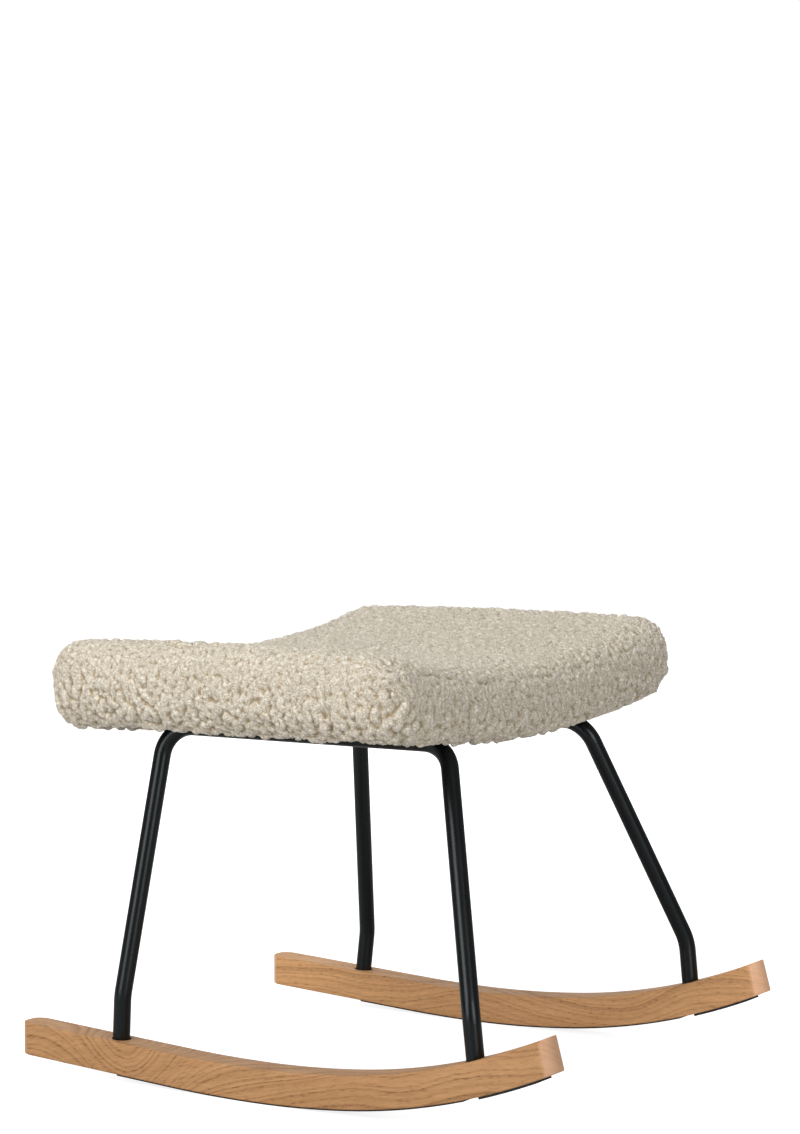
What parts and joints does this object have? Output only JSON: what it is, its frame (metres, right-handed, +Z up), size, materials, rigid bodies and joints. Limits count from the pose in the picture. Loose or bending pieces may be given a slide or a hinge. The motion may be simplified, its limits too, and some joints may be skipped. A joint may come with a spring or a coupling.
{
  "type": "rocking footstool",
  "caption": "Low footstool on wooden rockers, with bent black tube leg frames and a curved padded seat in curly cream pile.",
  "frame": {"origin": "on the floor under the middle of the whole stool, as it stands level on the lowest point of its rockers", "axes": "+Z up, +X along the rockers towards the end that turns up the most (the front), +Y to the left side"},
  "size_m": [0.572, 0.5278, 0.4168],
  "materials": {
    "rocker_oak": "satin lacquered oak",
    "grip_strip": "matt",
    "black_tube": "satin black powder coat",
    "zinc_steel": "zinc plated",
    "black_bolt": "black oxide",
    "plywood": "raw",
    "foam": "open cell foam",
    "curly_cover": "curly pile cloth",
    "dust_cloth": "thin non-woven cloth"
  },
  "bodies": {
    "root": {"left_rocker": "rocker_oak", "right_rocker": "rocker_oak", "left_long_strip": "grip_strip", "right_long_strip": "grip_strip", "left_stop_strip": "grip_strip", "right_stop_strip": "grip_strip", "left_leg_frame": "black_tube", "right_leg_frame": "black_tube", "tube_plugs": "zinc_steel", "foot_screws": "zinc_steel", "foot_washers": "zinc_steel", "front_cross_bar": "black_tube", "rear_cross_bar": "black_tube", "seat_board": "plywood", "seat_tee_nuts": "zinc_steel", "seat_bolts": "black_bolt", "seat_bolt_washers": "black_bolt", "foam_pad": "foam", "seat_cover": "curly_cover", "dust_cover": "dust_cloth", "dust_cover_staples": "zinc_steel"}
  },
  "joints": []
}
